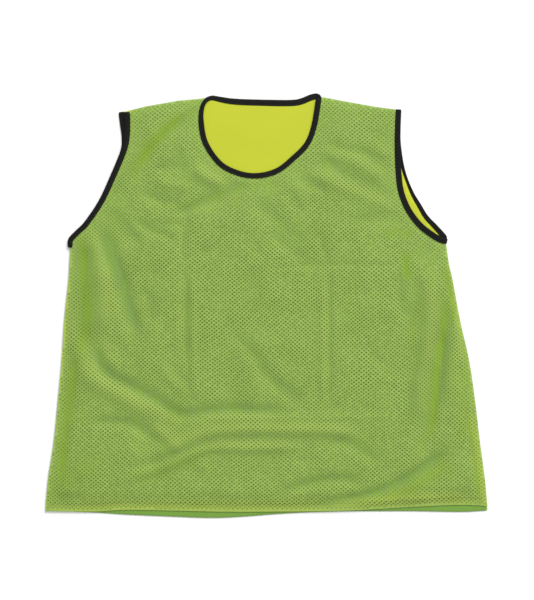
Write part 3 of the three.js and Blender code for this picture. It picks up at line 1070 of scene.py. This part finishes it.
class VEST_OT_add_hems(bpy.types.Operator):
    """Adds the turned-in hems of the back and the front with their sewing"""

    bl_idname = "vest.add_hems"
    bl_label = "Add Hems"

    def execute(self, context):
        thread = stitch_material("hem_thread", (0.24, 0.38, 0.08))
        looks = {
            "back": hem_material("back_hem_cloth", (0.166, 0.32, 0.044), (0.135, 0.272, 0.037)),
            "front": hem_material("front_hem_cloth", (0.24, 0.37, 0.035), (0.2, 0.33, 0.03)),
        }
        reach = HEM[-1].x - HEM_END
        for face, level in HEM_LEVELS.items():
            edge = edges_of(face)["hem"]
            ends = [(x, np.interp(x, edge[:, 0], edge[:, 1])) for x in (-reach, reach)]
            line = np.vstack([ends[0], edge[np.abs(edge[:, 0]) < reach - 1], ends[1]])
            sections = [hem_section()] * len(line)
            obj = swept(f"{face}_hem_band", line, sections, looks[face], np.full(len(line), level))
            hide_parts(f"{face}_hem")
        for face in ("front", "back"):
            seam = moved(edges_of(face)["hem"], HEM_DEPTH - HEM_SEAM)
            seam = seam[np.abs(seam[:, 0]) < reach]
            heights = np.full(len(seam), BACK_SEAM_LEVEL)
            if face == "front":
                heights = front_mesh_height(seam, outline_of("front")) + 0.05
            sewn = stitches(f"{face}_hem_stitches", seam, heights, thread)
        return {"FINISHED"}


class VEST_OT_add_bindings(bpy.types.Operator):
    """Adds the tapes of the neck and the armholes with their sewing"""

    bl_idname = "vest.add_bindings"
    bl_label = "Add Bindings"

    def execute(self, context):
        material = tape_material(context.scene.vest)
        thread = stitch_material("tape_thread", (0.02, 0.021, 0.021))
        for tape in TAPES:
            line = tape_line(tape)
            count = len(tape.widths)
            widths = np.interp(np.linspace(0, count - 1, len(line)), range(count), tape.widths)
            run = np.arange(len(line)) * TAPE_STEP
            # It rises and falls a little on its way
            level = TAPE_LEVELS[tape.face] + 0.12 * np.sin(run / 23.0) + 0.08 * np.sin(run / 9.0 + 1.3)
            add_tape(tape, line, widths, level, material)
            inward = to_left(line) * CLOTH_SIDE[tape.edge]
            row = line + inward * (widths - TAPE_SEAM)[:, None]
            heights = level + TAPE_HALF_THICKNESS * STITCH_LEVEL
            sewn = stitches(f"{tape.face}_{tape.edge}_binding_stitches", row, heights, thread)
        return {"FINISHED"}


class VEST_OT_add_stage(bpy.types.Operator):
    """Adds the floor, the lights and the camera"""

    bl_idname = "vest.add_stage"
    bl_label = "Add Stage"

    def execute(self, context):
        scene = context.scene
        floor_mesh = bpy.data.meshes.new("floor")
        corners = [(-8, -8, 0), (8, -8, 0), (8, 8, 0), (-8, 8, 0)]
        floor_mesh.from_pydata(corners, [], [(0, 1, 2, 3)])
        floor = bpy.data.objects.new("floor", floor_mesh)
        scene.collection.objects.link(floor)
        made, tree = node_tree("floor_paper")
        color = varied_color(tree, (1, 1, 1), 0.90, 0.92, 2)
        paper = tree.nodes["Principled BSDF"]
        tree.links.new(color, paper.inputs["Base Color"])
        paper.inputs["Roughness"].default_value = 0.9
        paper.inputs["Specular IOR Level"].default_value = 0.1
        floor_mesh.materials.append(made)

        world = bpy.data.worlds.new("studio")
        world.use_nodes = True
        sky = world.node_tree.nodes["Background"]
        sky.inputs["Color"].default_value = (1, 1, 1, 1)
        sky.inputs["Strength"].default_value = 0.45
        scene.world = world
        lights = (
            ("key", (5.27, 10.1, 9.18), 9.7, 2300.0),
            ("fill", (0.5, -1.0, 4.4), 2.6, 40.0),
        )
        for name, place, size, watts in lights:
            lamp = bpy.data.lights.new(name, "AREA")
            lamp.shape = "DISK"
            lamp.size = size
            lamp.energy = watts
            obj = bpy.data.objects.new(name, lamp)
            obj.location = place
            obj.rotation_mode = "QUATERNION"
            obj.rotation_quaternion = (-obj.location).to_track_quat("-Z", "Y")
            scene.collection.objects.link(obj)

        lens = bpy.data.cameras.new("camera")
        lens.sensor_width = 36
        lens.lens = 96
        lens.clip_end = 50
        camera = bpy.data.objects.new("camera", lens)
        camera.location = (0.00075, 0.0089, 2.405)
        scene.collection.objects.link(camera)
        scene.camera = camera
        scene.view_settings.view_transform = "Standard"
        return {"FINISHED"}


def declare_sheets():
    """Goes through the layers and works out the outline each was cut to, but does nothing with it."""
    layers = ("floor", "back_mesh_cloth", "back_lining_cloth", "front_lining_cloth", "front_mesh_cloth")
    for rests_on, name in zip(layers, layers[1:]):
        face = name.split("_")[0]
        outline = outline_of(face)


class VEST_PT_panel(bpy.types.Panel):
    """Buttons and settings of the vest"""

    bl_idname = "VEST_PT_panel"
    bl_label = "Reversible Vest"
    bl_space_type = "VIEW_3D"
    bl_region_type = "UI"
    bl_category = "Vest"

    def draw(self, context):
        layout = self.layout
        settings = context.scene.vest
        for name in VestSettings.__annotations__:
            layout.prop(settings, name)
        for operator in STEPS:
            layout.operator(operator.bl_idname)


STEPS = (VEST_OT_add_stage, VEST_OT_add_back, VEST_OT_add_front, VEST_OT_add_hems, VEST_OT_add_bindings)
CLASSES = (VestSettings, *STEPS, VEST_PT_panel)


def register():
    for cls in CLASSES:
        bpy.utils.register_class(cls)
    bpy.types.Scene.vest = PointerProperty(type=VestSettings)


def unregister():
    del bpy.types.Scene.vest
    for cls in reversed(CLASSES):
        bpy.utils.unregister_class(cls)


def main():
    register()
    bpy.ops.vest.add_stage()
    bpy.ops.vest.add_back()
    bpy.ops.vest.add_front()
    bpy.ops.vest.add_hems()
    bpy.ops.vest.add_bindings()
    declare_sheets()


if __name__ == "__main__":
    main()
